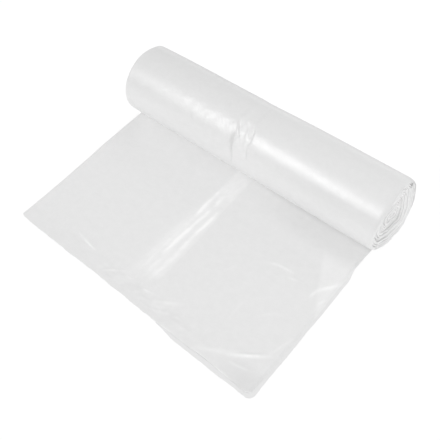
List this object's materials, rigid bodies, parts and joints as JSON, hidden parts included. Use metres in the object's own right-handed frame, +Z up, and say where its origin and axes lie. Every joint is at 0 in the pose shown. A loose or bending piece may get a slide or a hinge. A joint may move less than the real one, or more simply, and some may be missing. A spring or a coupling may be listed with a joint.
{
  "type": "bin bag roll",
  "caption": "Coreless roll of clear gusseted bin bags lying on its side, with its first bag unrolled flat in front as far as the seal and torn edge.",
  "frame": {"origin": "on the floor straight below the roll's axis, at the middle of the film's width", "axes": "+X along the roll towards its right end, +Y backwards, away from the unrolled leaf, +Z up"},
  "size_m": [0.306, 0.2407, 0.0724],
  "materials": {
    "clear_film": "clear polythene film in many plies, milky white where it is wound, glossy"
  },
  "bodies": {
    "root": {"bin_bag_roll": "clear_film"}
  },
  "joints": []
}
